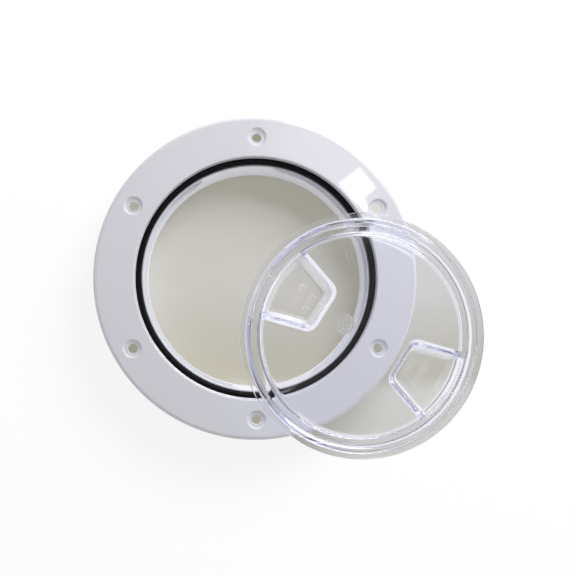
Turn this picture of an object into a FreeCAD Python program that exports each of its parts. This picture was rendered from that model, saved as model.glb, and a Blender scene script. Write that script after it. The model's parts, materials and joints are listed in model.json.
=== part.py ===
# Deck inspection plate of the 100 mm class: a flanged ring with a threaded collar,
# its seal ring, and the clear screw-in cover, taken off and lying on the flange.
# Millimetres. +Z is up, the origin is on the ring's axis in the plane of the deck,
# and X and Y are right and away as one looks down on the plate.
import FreeCAD
import Part
import math
import os

# Ring: flange
FLANGE_DIAMETER = 146.0
FLANGE_HEIGHT = 5.0
FLANGE_EDGE_ROUND = 2.0
RING_WALL = 2.6
LAND_WIDTH = 3.2

# Ring: screw holes
SCREW_COUNT = 6
SCREW_HOLE_DIAMETER = 4.5
SCREW_SEAT_DIAMETER = 6.6
SCREW_MOUTH_DIAMETER = 8.6
SCREW_RECESS_DEPTH = 1.2
SCREW_FIRST_ANGLE = 30.0

# Seal ring
SEAL_SECTION = 2.62
SEAL_DIAMETER = 106.2
SEAL_SQUEEZE = 0.26
SEAL_SIDE_CLEARANCE = 0.34
SEAL_FLOOR_CLEARANCE = 0.02
SEAL_LIP_CLEARANCE = 0.1
SEAL_LIP_HEIGHT = 0.5

# Ring: collar
COLLAR_BORE_DIAMETER = 102.0
COLLAR_DEPTH = 21.0
COLLAR_DRAFT = 0.6
COLLAR_THREADED_DEPTH = 9.0

# Quick thread of the collar and the cover
THREAD_STARTS = 2
THREAD_LEAD = 8.0
THREAD_HEIGHT = 1.5
THREAD_RADIAL_CLEARANCE = 0.4
THREAD_AXIAL_CLEARANCE = 0.25
THREAD_CREST_WIDTH = 1.0
THREAD_ROOT_WIDTH = 2.0
THREAD_BURIED = 0.5
THREAD_END_SLOPE = 2.0
COVER_THREAD_SPAN = 160.0
COLLAR_THREAD_SPAN = 148.0
COVER_THREAD_RISE_FROM_EDGE = 1.2
COVER_THREAD_ANGLE = 20.5
CLOSED_WELL_ANGLE = 90.0

# Cover: plate and skirt
PLATE_THICKNESS = 2.8
PLATE_SIDE_CLEARANCE = 0.55
SKIRT_DEPTH = 9.5
SKIRT_WALL = 3.1
SKIRT_INNER_DRAFT = 1.0
SKIRT_ROOT_ROUND = 1.8

# Cover: finger wells
WELL_INNER_DISTANCE = 21.3
WELL_INNER_WIDTH = 17.4
WELL_SIDE_ANGLE = 16.7
WELL_OUTER_DIAMETER = 91.6
WELL_DEPTH = 12.5
WELL_WALL = 2.6
WELL_FLOOR = 2.4
WELL_INNER_DRAFT = 2.5
WELL_SIDE_DRAFT = 1.4
WELL_OUTER_DRAFT = 3.9
WELL_CORNER_ROUND = 2.4

# Cover: raised index ticks in line with the wells
TICK_HEIGHT = 0.3
TICK_LENGTH = 2.9
TICK_WIDTH = 0.7
TICK_EDGE_DISTANCE = 4.9

# Place of the cover as it lies on the flange
COVER_LIE_ANGLE = -29.3
COVER_WELL_ANGLE = 147.5
COVER_REST_CLEARANCE = 0.1

# Small edge bevels, the flats that rounds are drawn with, and the reach of a cut past a face
FINE_BEVEL = 0.4
FLAT_LENGTH = 1.1
PAST = 1.0

# Values that follow from the sizes above
FLANGE_RADIUS = FLANGE_DIAMETER / 2
SEAL_RADIUS = SEAL_DIAMETER / 2
SEAL_FLOOR_Z = FLANGE_HEIGHT - PLATE_THICKNESS - (SEAL_SECTION - SEAL_SQUEEZE)
RECESS_RADIUS = SEAL_RADIUS + SEAL_SECTION / 2 + SEAL_SIDE_CLEARANCE
SEAL_LIP_RADIUS = SEAL_RADIUS - SEAL_SECTION / 2 - SEAL_LIP_CLEARANCE
SCREW_CIRCLE_RADIUS = (RECESS_RADIUS + FLANGE_RADIUS) / 2
SPIGOT_RADIUS = RECESS_RADIUS + RING_WALL
SPIGOT_DEPTH = RING_WALL - SEAL_FLOOR_Z
BORE_RADIUS = COLLAR_BORE_DIAMETER / 2
COLLAR_OUTER_RADIUS = BORE_RADIUS + RING_WALL
PLATE_RADIUS = RECESS_RADIUS - PLATE_SIDE_CLEARANCE
COVER_CREST_RADIUS = BORE_RADIUS - THREAD_RADIAL_CLEARANCE
COLLAR_CREST_RADIUS = BORE_RADIUS - THREAD_HEIGHT
SKIRT_RADIUS = COVER_CREST_RADIUS - THREAD_HEIGHT
SKIRT_INNER_RADIUS = SKIRT_RADIUS - SKIRT_WALL
COVER_HEIGHT = PLATE_THICKNESS + SKIRT_DEPTH
COVER_LIE_Z = FLANGE_HEIGHT + COVER_REST_CLEARANCE + SKIRT_DEPTH
COVER_CLOSED_Z = FLANGE_HEIGHT - PLATE_THICKNESS
COVER_LIE_RADIUS = SEAL_RADIUS

UP = FreeCAD.Vector(0, 0, 1)
ORIGIN = FreeCAD.Vector(0, 0, 0)


def point(radius, angle, z=0.0):
    """The point at a radius and an angle in degrees about the Z axis."""
    turn = math.radians(angle)
    return FreeCAD.Vector(radius * math.cos(turn), radius * math.sin(turn), z)


def corner_points(before, here, after, radius):
    """The points that round a corner off with short flats, or bevel it if the round is small."""
    if radius == 0:
        return [here]
    back = (before - here).normalize()
    ahead = (after - here).normalize()
    half = back.getAngle(ahead) / 2
    centre = here + (back + ahead).normalize() * (radius / math.sin(half))
    start = here + back * (radius / math.tan(half)) - centre
    finish = here + ahead * (radius / math.tan(half)) - centre
    sweep = start.getAngle(finish)
    flats = math.ceil(radius * sweep / FLAT_LENGTH)
    points = []
    for step in range(flats + 1):
        share = step / flats
        mixed = start * math.sin((1 - share) * sweep) + finish * math.sin(share * sweep)
        points.append(centre + mixed / math.sin(sweep))
    return points


def revolved(corners):
    """The solid of revolution about Z of a half section with corners (radius, z, round)."""
    places = [FreeCAD.Vector(radius, 0, z) for radius, z, corner_round in corners]
    points = []
    for index, (radius, z, corner_round) in enumerate(corners):
        after = places[(index + 1) % len(places)]
        points += corner_points(places[index - 1], places[index], after, corner_round)
    return Part.Face(Part.makePolygon(points + points[:1])).revolve(ORIGIN, UP, 360)


def thread_ridge(root_radius, crest_radius, low_angle, low_z, span):
    """One right-hand ridge of the quick thread, chamfered at both ends."""
    inward = root_radius > crest_radius
    buried = root_radius + (THREAD_BURIED if inward else -THREAD_BURIED)
    flank = (THREAD_ROOT_WIDTH - THREAD_CREST_WIDTH) / 2 / THREAD_HEIGHT
    deep_half = THREAD_ROOT_WIDTH / 2 + THREAD_BURIED * flank
    crest_half = THREAD_CREST_WIDTH / 2
    rise = THREAD_LEAD * span / 360
    helix = Part.makeHelix(THREAD_LEAD, rise, root_radius)
    section = Part.makePolygon([
        FreeCAD.Vector(buried, 0, -deep_half),
        FreeCAD.Vector(crest_radius, 0, -crest_half),
        FreeCAD.Vector(crest_radius, 0, crest_half),
        FreeCAD.Vector(buried, 0, deep_half),
        FreeCAD.Vector(buried, 0, -deep_half),
    ])
    ridge = Part.Wire(helix.Edges).makePipeShell([section], True, True)
    for end_angle, side in ((0.0, -1), (span, 1)):
        ridge = ridge.cut(end_chamfer(buried, crest_radius, end_angle, side))
    ridge.translate(FreeCAD.Vector(0, 0, low_z))
    ridge.rotate(ORIGIN, UP, low_angle)
    return ridge


def end_chamfer(buried, crest_radius, angle, side):
    """The block that slants a ridge's end down to its root."""
    depth = abs(crest_radius - buried)
    way = 1 if crest_radius > buried else -1
    run = THREAD_END_SLOPE * depth
    block = Part.Face(Part.makePolygon([
        FreeCAD.Vector(buried, side * PAST, 0),
        FreeCAD.Vector(buried, 0, 0),
        FreeCAD.Vector(crest_radius + way * PAST, -side * run * (depth + PAST) / depth, 0),
        FreeCAD.Vector(crest_radius + way * PAST, side * PAST, 0),
        FreeCAD.Vector(buried, side * PAST, 0),
    ])).extrude(UP * 2 * (THREAD_LEAD + THREAD_ROOT_WIDTH))
    block.translate(UP * -(THREAD_LEAD + THREAD_ROOT_WIDTH))
    block.rotate(ORIGIN, UP, angle)
    return block


def cover_thread_low_z():
    """Height of the low end of the cover's ridges above the flange's underside."""
    return -SKIRT_DEPTH + COVER_THREAD_RISE_FROM_EDGE


def ring_body():
    """The revolved part of the ring: flange, seal recess, spigot and collar."""
    groove_floor = SEAL_FLOOR_Z
    lip_top = groove_floor + SEAL_LIP_HEIGHT
    foot_z = -COLLAR_DEPTH
    return revolved([
        (FLANGE_RADIUS, 0, 0),
        (FLANGE_RADIUS, FLANGE_HEIGHT, FLANGE_EDGE_ROUND),
        (RECESS_RADIUS, FLANGE_HEIGHT, FINE_BEVEL),
        (RECESS_RADIUS, groove_floor, 0),
        (SEAL_LIP_RADIUS, groove_floor, 0),
        (SEAL_LIP_RADIUS, lip_top, 0),
        (BORE_RADIUS, lip_top, 0),
        (BORE_RADIUS, -COLLAR_THREADED_DEPTH, 0),
        (BORE_RADIUS - COLLAR_DRAFT, foot_z, 0),
        (COLLAR_OUTER_RADIUS, foot_z, FINE_BEVEL),
        (COLLAR_OUTER_RADIUS, -SPIGOT_DEPTH, 0),
        (SPIGOT_RADIUS, -SPIGOT_DEPTH, FINE_BEVEL),
        (SPIGOT_RADIUS, 0, 0),
    ])


def flange_hollows():
    """The six hollows in the flange's underside, between the bosses of the screw holes."""
    depth = FLANGE_HEIGHT - RING_WALL
    hollow = revolved([
        (SPIGOT_RADIUS + LAND_WIDTH, -PAST, 0),
        (FLANGE_RADIUS - LAND_WIDTH, -PAST, 0),
        (FLANGE_RADIUS - LAND_WIDTH, depth, 0),
        (SPIGOT_RADIUS + LAND_WIDTH, depth, 0),
    ])
    boss_radius = SCREW_MOUTH_DIAMETER / 2 + RING_WALL
    boss_height = depth + 2 * PAST
    bosses = [
        Part.makeCylinder(boss_radius, boss_height, place - UP * PAST)
        for place in screw_places()
    ]
    return hollow.cut(bosses)


def screw_places():
    """Where the screws go, in the plane of the deck and midway across the flange."""
    angles = [SCREW_FIRST_ANGLE + index * 360 / SCREW_COUNT for index in range(SCREW_COUNT)]
    return [point(SCREW_CIRCLE_RADIUS, angle) for angle in angles]


def screw_holes():
    """The screw holes, each with a shallow dished recess for the screw's head."""
    low = UP * -PAST
    seat = UP * (FLANGE_HEIGHT - SCREW_RECESS_DEPTH)
    through = FLANGE_HEIGHT + 2 * PAST
    seat_radius = SCREW_SEAT_DIAMETER / 2
    spread = (SCREW_MOUTH_DIAMETER / 2 - seat_radius) / SCREW_RECESS_DEPTH
    height = SCREW_RECESS_DEPTH + PAST
    holes = []
    for place in screw_places():
        holes.append(Part.makeCylinder(SCREW_HOLE_DIAMETER / 2, through, place + low))
        holes.append(Part.makeCone(seat_radius, seat_radius + spread * height, height, place + seat))
    return holes


def collar_threads():
    """The collar's ridges, which lie just above the closed cover's ridges."""
    mid_width = (THREAD_ROOT_WIDTH + THREAD_CREST_WIDTH) / 2
    flank = (THREAD_ROOT_WIDTH - THREAD_CREST_WIDTH) / THREAD_HEIGHT
    above = mid_width - THREAD_RADIAL_CLEARANCE * flank / 2 + THREAD_AXIAL_CLEARANCE
    spare = (COVER_THREAD_SPAN - COLLAR_THREAD_SPAN) / 2
    low_z = COVER_CLOSED_Z + cover_thread_low_z() + above + THREAD_LEAD * spare / 360
    low_angle = CLOSED_WELL_ANGLE + COVER_THREAD_ANGLE + spare
    return [
        thread_ridge(
            BORE_RADIUS,
            COLLAR_CREST_RADIUS,
            low_angle + index * 360 / THREAD_STARTS,
            low_z,
            COLLAR_THREAD_SPAN,
        )
        for index in range(THREAD_STARTS)
    ]


def deck_ring():
    """The ring that is screwed to the deck, one moulding."""
    body = ring_body().cut([flange_hollows()] + screw_holes())
    return body.fuse(collar_threads()).removeSplitter()


def o_ring():
    """The rubber seal ring in its groove, a round section."""
    half = SEAL_SECTION / 2
    low = SEAL_FLOOR_Z + SEAL_FLOOR_CLEARANCE
    high = low + SEAL_SECTION
    return revolved([
        (SEAL_RADIUS + half, low, half),
        (SEAL_RADIUS + half, high, half),
        (SEAL_RADIUS - half, high, half),
        (SEAL_RADIUS - half, low, half),
    ])


def well_outline(z, inner, half_width, corner_round):
    """A finger well's outline at height z: a wedge, rounded inside, that runs out past the rim."""
    outer = WELL_OUTER_DIAMETER
    outer_half_width = half_width + (outer - inner) * math.tan(math.radians(WELL_SIDE_ANGLE))
    corners = [
        FreeCAD.Vector(outer, outer_half_width, z),
        FreeCAD.Vector(inner, half_width, z),
        FreeCAD.Vector(inner, -half_width, z),
        FreeCAD.Vector(outer, -outer_half_width, z),
    ]
    points = [corners[0]]
    for index in (1, 2):
        before, here, after = corners[index - 1:index + 2]
        points += corner_points(before, here, after, corner_round)
    return Part.makePolygon(points + [corners[3], corners[0]])


def well_block(top_z, bottom_z, spread):
    """A finger well's drafted block between two levels, spread outwards by a wall."""
    side_spread = spread / math.cos(math.radians(WELL_SIDE_ANGLE))
    outlines = []
    outer_radii = []
    for z in (top_z, bottom_z):
        share = -z / WELL_DEPTH
        outlines.append(well_outline(
            z,
            WELL_INNER_DISTANCE - spread + WELL_INNER_DRAFT * share,
            WELL_INNER_WIDTH / 2 + side_spread - WELL_SIDE_DRAFT * share,
            WELL_CORNER_ROUND + spread,
        ))
        outer_radii.append(WELL_OUTER_DIAMETER / 2 + spread - WELL_OUTER_DRAFT * share)
    wedge = Part.makeLoft(outlines, True, True)
    return wedge.common(Part.makeCone(outer_radii[1], outer_radii[0], top_z - bottom_z, UP * bottom_z))


def both_sides(shape):
    """A shape and its copy half a turn round the axis."""
    other = shape.copy()
    other.rotate(ORIGIN, UP, 180)
    return [shape, other]


def cover_body():
    """The revolved part of the cover, its top at z = 0: plate, rim and skirt."""
    under = -PLATE_THICKNESS
    edge = -COVER_HEIGHT
    return revolved([
        (0, 0, 0),
        (PLATE_RADIUS, 0, FINE_BEVEL),
        (PLATE_RADIUS, under, 0),
        (SKIRT_RADIUS, under, 0),
        (SKIRT_RADIUS, edge, FINE_BEVEL),
        (SKIRT_INNER_RADIUS, edge, 0),
        (SKIRT_INNER_RADIUS - SKIRT_INNER_DRAFT, under, SKIRT_ROOT_ROUND),
        (0, under, 0),
    ])


def cover_threads():
    """The ridges on the cover's skirt."""
    low_z = cover_thread_low_z() - PLATE_THICKNESS
    return [
        thread_ridge(
            SKIRT_RADIUS,
            COVER_CREST_RADIUS,
            COVER_THREAD_ANGLE + index * 360 / THREAD_STARTS,
            low_z,
            COVER_THREAD_SPAN,
        )
        for index in range(THREAD_STARTS)
    ]


def index_ticks():
    """The raised ticks near the cover's edge, in line with the wells."""
    tick = Part.makeBox(
        TICK_LENGTH,
        TICK_WIDTH,
        2 * TICK_HEIGHT,
        FreeCAD.Vector(PLATE_RADIUS - TICK_EDGE_DISTANCE - TICK_LENGTH, -TICK_WIDTH / 2, -TICK_HEIGHT),
    )
    return both_sides(tick)


def cover_in_its_own_frame():
    """The clear cover with its top at z = 0 and its wells along X."""
    blocks = both_sides(well_block(-PLATE_THICKNESS / 2, -WELL_DEPTH - WELL_FLOOR, WELL_WALL))
    pocket = well_block(PAST, -WELL_DEPTH, 0)
    cover = cover_body().fuse(blocks + cover_threads() + index_ticks())
    return cover.cut(both_sides(pocket)).removeSplitter()


def clear_cover():
    """The cover as it lies on the flange, its skirt down."""
    cover = cover_in_its_own_frame()
    cover.rotate(ORIGIN, UP, COVER_WELL_ANGLE)
    cover.translate(point(COVER_LIE_RADIUS, COVER_LIE_ANGLE, COVER_LIE_Z + PLATE_THICKNESS))
    return cover


def main():
    os.makedirs("parts", exist_ok=True)
    nodes = {
        "deck_ring": deck_ring,
        "o_ring": o_ring,
        "clear_cover": clear_cover,
    }
    for name, make in nodes.items():
        shape = make()
        shape.exportStep("parts/" + name + ".step")
        print(name, len(shape.Solids), "solid", round(shape.Volume), "mm3, valid", shape.isValid())


main()
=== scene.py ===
# %% [markdown]
# A deck inspection plate, taken apart
#
# The object is a round white fitting from a boat's deck: a flange with six screw holes, a
# seal ring in a groove, a short collar with a coarse quick thread, and a clear cover that
# screws into the collar. The cover is off and lies on the flange, so light passes through
# its clear plastic, and most of this scene is about getting that right.

# %% Load the measured model
import bmesh
import bpy
import json
import math
from mathutils import Matrix, Vector

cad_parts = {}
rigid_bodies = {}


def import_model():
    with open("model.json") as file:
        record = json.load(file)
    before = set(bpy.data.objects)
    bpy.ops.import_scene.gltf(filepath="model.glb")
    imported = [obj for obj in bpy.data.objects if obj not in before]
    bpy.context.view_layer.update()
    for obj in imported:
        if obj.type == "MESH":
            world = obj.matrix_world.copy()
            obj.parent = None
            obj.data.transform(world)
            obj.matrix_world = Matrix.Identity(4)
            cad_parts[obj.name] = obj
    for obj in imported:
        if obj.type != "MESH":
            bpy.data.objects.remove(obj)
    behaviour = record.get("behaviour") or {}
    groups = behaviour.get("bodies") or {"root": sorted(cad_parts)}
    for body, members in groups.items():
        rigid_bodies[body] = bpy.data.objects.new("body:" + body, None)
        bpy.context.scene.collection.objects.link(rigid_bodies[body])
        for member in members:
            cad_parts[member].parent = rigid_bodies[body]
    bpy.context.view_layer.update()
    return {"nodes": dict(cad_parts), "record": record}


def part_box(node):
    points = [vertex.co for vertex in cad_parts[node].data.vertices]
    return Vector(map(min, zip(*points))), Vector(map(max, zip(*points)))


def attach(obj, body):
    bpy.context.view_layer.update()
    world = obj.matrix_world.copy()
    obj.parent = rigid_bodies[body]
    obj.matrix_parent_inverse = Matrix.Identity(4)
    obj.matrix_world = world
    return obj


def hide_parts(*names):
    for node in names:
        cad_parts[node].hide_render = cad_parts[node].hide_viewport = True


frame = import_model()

MM = 0.001
print("frame nodes:", sorted(frame["nodes"]))

# %% [markdown]
# The sizes that everything starts from
#
# The frame already knows how large each piece is and where it lies, so the main sizes are
# read from it. Only the small ones, such as walls and rounds, are written here. Blender
# works in metres, and a fitting like this is drawn in millimetres, so each small size is
# written as a number of millimetres times MM.

# %% Sizes that come from the frame
ring_low, ring_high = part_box("deck_ring")
seal_low, seal_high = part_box("o_ring")
cover_low, cover_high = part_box("clear_cover")
mounts = {mount["name"]: mount for mount in frame["record"]["mounts"]}
screws = mounts["screw_holes"]["dims"]

FLANGE_RADIUS = ring_high.x
FLANGE_TOP = ring_high.z
COLLAR_FOOT = ring_low.z
SCREW_COUNT = screws["count"]
SCREW_CIRCLE = screws["pcd_mm"] / 2 * MM
SCREW_HOLE = screws["hole_r_mm"] * MM
SPIGOT_RADIUS = mounts["cut_out_spigot"]["dims"]["r_mm"] * MM
SEAL_SECTION = seal_high.z - seal_low.z
SEAL_RADIUS = seal_high.x - SEAL_SECTION / 2
PLATE_RADIUS = (cover_high.x - cover_low.x) / 2
COVER_PLACE = (cover_low + cover_high) / 2
print("flange and cover radius in mm:",
      round(FLANGE_RADIUS / MM, 2), round(PLATE_RADIUS / MM, 2))

# %% [markdown]
# The camera
#
# The photograph was taken from nearly straight above, about 40 cm away, which shows a
# little of the collar's left and lower wall. The camera stands at that place, leans by the
# same small angles, and its lens gives the same width of view. A camera that stands close
# makes near things larger, so the cover, which lies higher, looks larger than it is.

# %% Camera
CAMERA_PLACE = Vector((-16, -20, 405)) * MM
CAMERA_LEAN = 0.038
CAMERA_ROLL = -0.075
CAMERA_LENS = 55.6
CAMERA_NEAR = 0.01

bpy.ops.object.select_all(action="DESELECT")
bpy.ops.object.camera_add(location=CAMERA_PLACE)
camera = bpy.context.object
camera.name = "camera"
lean = Matrix.Rotation(CAMERA_LEAN, 4, "X")
roll = Matrix.Rotation(CAMERA_ROLL, 4, "Y")
camera.rotation_euler = (roll @ lean).to_euler()
camera.data.lens = CAMERA_LENS
camera.data.clip_start = CAMERA_NEAR
bpy.context.scene.camera = camera
print("camera", [round(size / MM) for size in camera.location], "lens", camera.data.lens)

# %% [markdown]
# How light is followed
#
# A look through the cover crosses many of its surfaces, so a ray may be bent or mirrored
# many times before it is given up. Light that clear plastic gathers into bright spots is
# left out, because it would only show as noise.

# %% Light paths
scene = bpy.context.scene
scene.view_settings.view_transform = "Standard"
scene.cycles.max_bounces = 24
scene.cycles.glossy_bounces = 16
scene.cycles.transmission_bounces = 24
scene.cycles.caustics_refractive = False
scene.cycles.caustics_reflective = False
print("a ray may turn", scene.cycles.max_bounces, "times")

# %% [markdown]
# Light
#
# The photograph has soft light from the upper right, such as a window beside the table,
# and a room that fills the shadows. A square lamp near the object stands for the window.
# The flange is flat and glossy, so it shows a hard-edged white patch where it mirrors
# something bright overhead: that is two small lamps, far too small to light anything,
# placed where the mirror direction asks for them.

# %% Lamps
DAYLIGHT = (0.975, 0.96, 1.0)
LAMP_WHITE = (1.0, 1.0, 1.0)
WINDOW_PLACE = Vector((0.24, 0.375, 0.40))
WINDOW_SIZE = 0.34
WINDOW_POWER = 2.8
GLINT_BRIGHTNESS = 32.0
GLINTS = (
    ("broad glint", (0.2, 0.196, 1.0), 0.046, 0.042, 40),
    ("narrow glint", (0.2075, 0.1665, 1.0), 0.028, 0.0125, -65),
)


def lamp(name, place, width, length, power, colour):
    """An oblong lamp that faces straight down."""
    bpy.ops.object.light_add(type="AREA", location=place)
    light = bpy.context.object
    light.name = name
    light.data.shape = "RECTANGLE"
    light.data.size = width
    light.data.size_y = length
    light.data.energy = power
    light.data.color = colour
    return light


window = lamp("window light", WINDOW_PLACE, WINDOW_SIZE, WINDOW_SIZE, WINDOW_POWER, DAYLIGHT)
window.rotation_euler = (-window.location).to_track_quat("-Z", "Y").to_euler()
for name, place, width, length, turn in GLINTS:
    glint = lamp(name, place, width, length, GLINT_BRIGHTNESS * width * length, LAMP_WHITE)
    glint.rotation_euler.z = math.radians(turn)

# %% [markdown]
# Wiring nodes
#
# The room and all finishes are built from nodes. In the editor one adds a node, picks its
# settings, types its values and drags its links. These helpers do the same: each input of
# a node gets either a value or a link from another node's socket.

# %% Helpers for nodes
def feed(tree, node, inputs):
    """Gives a node's inputs, by name or number, a value or a link."""
    for name, value in inputs.items():
        if isinstance(value, bpy.types.NodeSocket):
            tree.links.new(value, node.inputs[name])
        else:
            node.inputs[name].default_value = value


def add_node(tree, kind, inputs=None, **settings):
    """A new node with its settings and its inputs."""
    node = tree.nodes.new("ShaderNode" + kind)
    for name, value in settings.items():
        setattr(node, name, value)
    feed(tree, node, inputs or {})
    return node


def maths(tree, operation, *values, clamp=False):
    """A sum of the Math node, from numbers or sockets."""
    inputs = dict(enumerate(values))
    return add_node(tree, "Math", inputs, operation=operation, use_clamp=clamp).outputs["Value"]


def ranged(tree, value, source, target=(0.0, 1.0), shape="LINEAR"):
    """Maps a value from one range to another."""
    inputs = {"Value": value, "From Min": source[0], "From Max": source[1],
              "To Min": target[0], "To Max": target[1]}
    return add_node(tree, "MapRange", inputs, interpolation_type=shape).outputs["Result"]


def mixed(tree, kind, share, first, second):
    """A mix of two numbers or two colours."""
    inputs = {"Factor": share, "A": first, "B": second}
    return add_node(tree, "Mix", inputs, data_type=kind).outputs["Result"]


def mixed_shader(tree, share, first, second):
    """A mix of two shaders."""
    return add_node(tree, "MixShader", {"Fac": share, 1: first, 2: second}).outputs["Shader"]


print("node helpers ready")

# %% [markdown]
# The room
#
# The room is the world's light. It is brighter towards its walls than overhead, with one
# soft brighter patch that the flange mirrors. It is a little dimmer for a look that comes
# through the clear plastic, and plain white for a straight one.

# %% Room
ROOM_WALLS = 1.0
ROOM_CEILING = 0.2
ROOM_BAND = (0.35, 0.7)
ROOM_TINT = (0.99, 0.985, 1.0, 1.0)
PATCH_WAY = (0.12, 0.173, 0.978)
PATCH_SPREAD = 0.105
PATCH_LEVEL = 1.8
THROUGH_LEVEL = 0.7
WHITE_LEVEL = 1.0
PLAIN_WHITE = (1.0, 1.0, 1.0, 1.0)


def new_world(name):
    """A room that is brighter towards its walls than overhead, and white to the camera."""
    world = bpy.data.worlds.new(name)
    world.use_nodes = True
    tree = world.node_tree
    way = add_node(tree, "TexCoord").outputs["Generated"]
    height = add_node(tree, "SeparateXYZ", {"Vector": way}).outputs["Z"]
    fall = ranged(tree, height, ROOM_BAND, (ROOM_WALLS, ROOM_CEILING))
    toward = add_node(tree, "VectorMath", {0: way, 1: Vector(PATCH_WAY).normalized()},
                      operation="DOT_PRODUCT").outputs["Value"]
    patch = ranged(tree, toward, (math.cos(PATCH_SPREAD), 1.0), (0.0, PATCH_LEVEL),
                   "SMOOTHSTEP")
    path = add_node(tree, "LightPath").outputs
    dimming = ranged(tree, path["Is Transmission Ray"], (0.0, 1.0), (1.0, THROUGH_LEVEL))
    level = maths(tree, "MULTIPLY", maths(tree, "ADD", fall, patch), dimming)
    straight = path["Is Camera Ray"]
    feed(tree, tree.nodes["Background"], {
        "Strength": mixed(tree, "FLOAT", straight, level, WHITE_LEVEL),
        "Color": mixed(tree, "RGBA", straight, ROOM_TINT, PLAIN_WHITE),
    })
    return world


scene.world = new_world("room")
print("room's light:", ROOM_WALLS, "at its walls,", ROOM_CEILING, "overhead")

# %% [markdown]
# The floor
#
# Round the object the picture is white. Inside the ring and behind the clear cover it is a
# warm grey, which is what the table really looked like. So the floor is white, with a grey
# patch under the ring that is about as wide as the flange, and it is grey below the cover
# too, but only for a look that comes through the clear plastic. The grey changes along Y,
# as the light on the table did: it is darkest at the far side, which is painted shade where
# the ring's wall shaded the table, and it is also darker in a band towards the near side.
# The grey also glows a little for rays that come from the eye, warm under the ring and cool
# elsewhere, which is painted light on the table. The white part is mostly glow and partly
# paint, so the object's soft shadow still falls on it, and the glow is only there for rays
# that come from the eye, so it lights nothing. Mirrored looks don't see the grey.

# %% Floor's colours
# TABLE_SHADE is painted shade: the darkest tone, at the far side, where the ring's wall shaded
# the table.
TABLE_SHADE = (0.14, 0.14, 0.13)
TABLE_GREY = (0.5, 0.5, 0.5)
TABLE_NEAR = (0.375, 0.365, 0.315)
TABLE_EDGE = (0.54, 0.535, 0.5)
TABLE_REACH = 60 * MM
TABLE_STOPS = ((56 * MM, TABLE_SHADE), (52 * MM, TABLE_GREY), (-5 * MM, TABLE_GREY),
               (-41 * MM, TABLE_NEAR), (-46 * MM, TABLE_NEAR), (-54 * MM, TABLE_EDGE))
RING_PATCH = (70 * MM, 75 * MM)
COVER_PATCH = (68 * MM, 82 * MM)
# Painted light: the grey patch glows for rays from the eye, warm under the ring and cool
# elsewhere.
WARM_PAINTED_LIGHT = (0.19, 0.18, 0.12, 1.0)
COOL_PAINTED_LIGHT = (0.205, 0.205, 0.175, 1.0)
FLOOR_WHITE = (0.85, 0.85, 0.85, 1.0)
FLOOR_GLOW = 1.1
SHADOW_SHARE = 0.25
UNMIRRORED = 0.5
FLOOR_SIZE = 6


def object_part(tree, axis):
    """How far a point lies along an axis of the object."""
    place = add_node(tree, "TexCoord").outputs["Object"]
    return add_node(tree, "SeparateXYZ", {"Vector": place}).outputs[axis]


def seen_ray(tree, path):
    """1 for a ray that comes from the eye, straight or by way of gloss or clear plastic."""
    total = maths(tree, "MAXIMUM", path["Is Camera Ray"], path["Is Glossy Ray"])
    return maths(tree, "MAXIMUM", total, path["Is Transmission Ray"])


def round_patch(tree, centre, inner, outer):
    """1 inside a circle on the floor and 0 outside, with a soft edge."""
    place = add_node(tree, "TexCoord").outputs["Object"]
    away = add_node(tree, "VectorMath", {0: place, 1: (centre.x, centre.y, COLLAR_FOOT)},
                    operation="DISTANCE").outputs["Value"]
    return ranged(tree, away, (inner, outer), (1.0, 0.0), "SMOOTHSTEP")


def table_colour(tree):
    """The table's grey along Y, with painted shade at the far side."""
    along = ranged(tree, object_part(tree, "Y"), (TABLE_REACH, -TABLE_REACH))
    shade = add_node(tree, "ValToRGB", {"Fac": along})
    stops = shade.color_ramp.elements
    while len(stops) < len(TABLE_STOPS):
        stops.new(1.0)
    for stop, (along_y, colour) in zip(stops, TABLE_STOPS):
        stop.position = (TABLE_REACH - along_y) / 2 / TABLE_REACH
        stop.color = (*colour, 1)
    return shade.outputs["Color"]


print("table's grey has", len(TABLE_STOPS), "tones")

# %% Floor
def floor_material():
    """White to the eye, and grey where the table shows, with painted shade and painted light.
    """
    material = bpy.data.materials.new("floor")
    material.use_nodes = True
    tree = material.node_tree
    tree.nodes.remove(tree.nodes["Principled BSDF"])
    path = add_node(tree, "LightPath").outputs
    seen = seen_ray(tree, path)
    under_ring = round_patch(tree, Vector(), *RING_PATCH)
    under_cover = round_patch(tree, COVER_PLACE, *COVER_PATCH)
    through = maths(tree, "MULTIPLY", under_cover, path["Transmission Depth"], clamp=True)
    straight = maths(tree, "LESS_THAN", path["Glossy Depth"], UNMIRRORED)
    grey = maths(tree, "MULTIPLY", maths(tree, "MAXIMUM", under_ring, through), straight)
    paint = add_node(tree, "BsdfDiffuse", {"Color": table_colour(tree)})
    # Painted light on the table: a glow that only rays from the eye see.
    room = add_node(tree, "Emission", {
        "Color": mixed(tree, "RGBA", under_ring, COOL_PAINTED_LIGHT, WARM_PAINTED_LIGHT),
        "Strength": seen,
    })
    table = add_node(tree, "AddShader", {0: paint.outputs["BSDF"], 1: room.outputs["Emission"]})
    white = add_node(tree, "BsdfDiffuse", {"Color": FLOOR_WHITE}).outputs["BSDF"]
    glow = add_node(tree, "Emission", {"Strength": FLOOR_GLOW}).outputs["Emission"]
    pale = mixed_shader(tree, SHADOW_SHARE, glow, white)
    looks = mixed_shader(tree, grey, pale, table.outputs["Shader"])
    final = mixed_shader(tree, seen, white, looks)
    feed(tree, tree.nodes["Material Output"], {"Surface": final})
    return material


bpy.ops.object.select_all(action="DESELECT")
bpy.ops.mesh.primitive_plane_add(size=FLOOR_SIZE)
floor = bpy.context.object
floor.name = "floor"
floor.data.transform(Matrix.Translation((0, 0, COLLAR_FOOT)))
floor.data.materials.append(floor_material())
print("floor at", round(COLLAR_FOOT / MM, 1), "mm")

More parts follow.
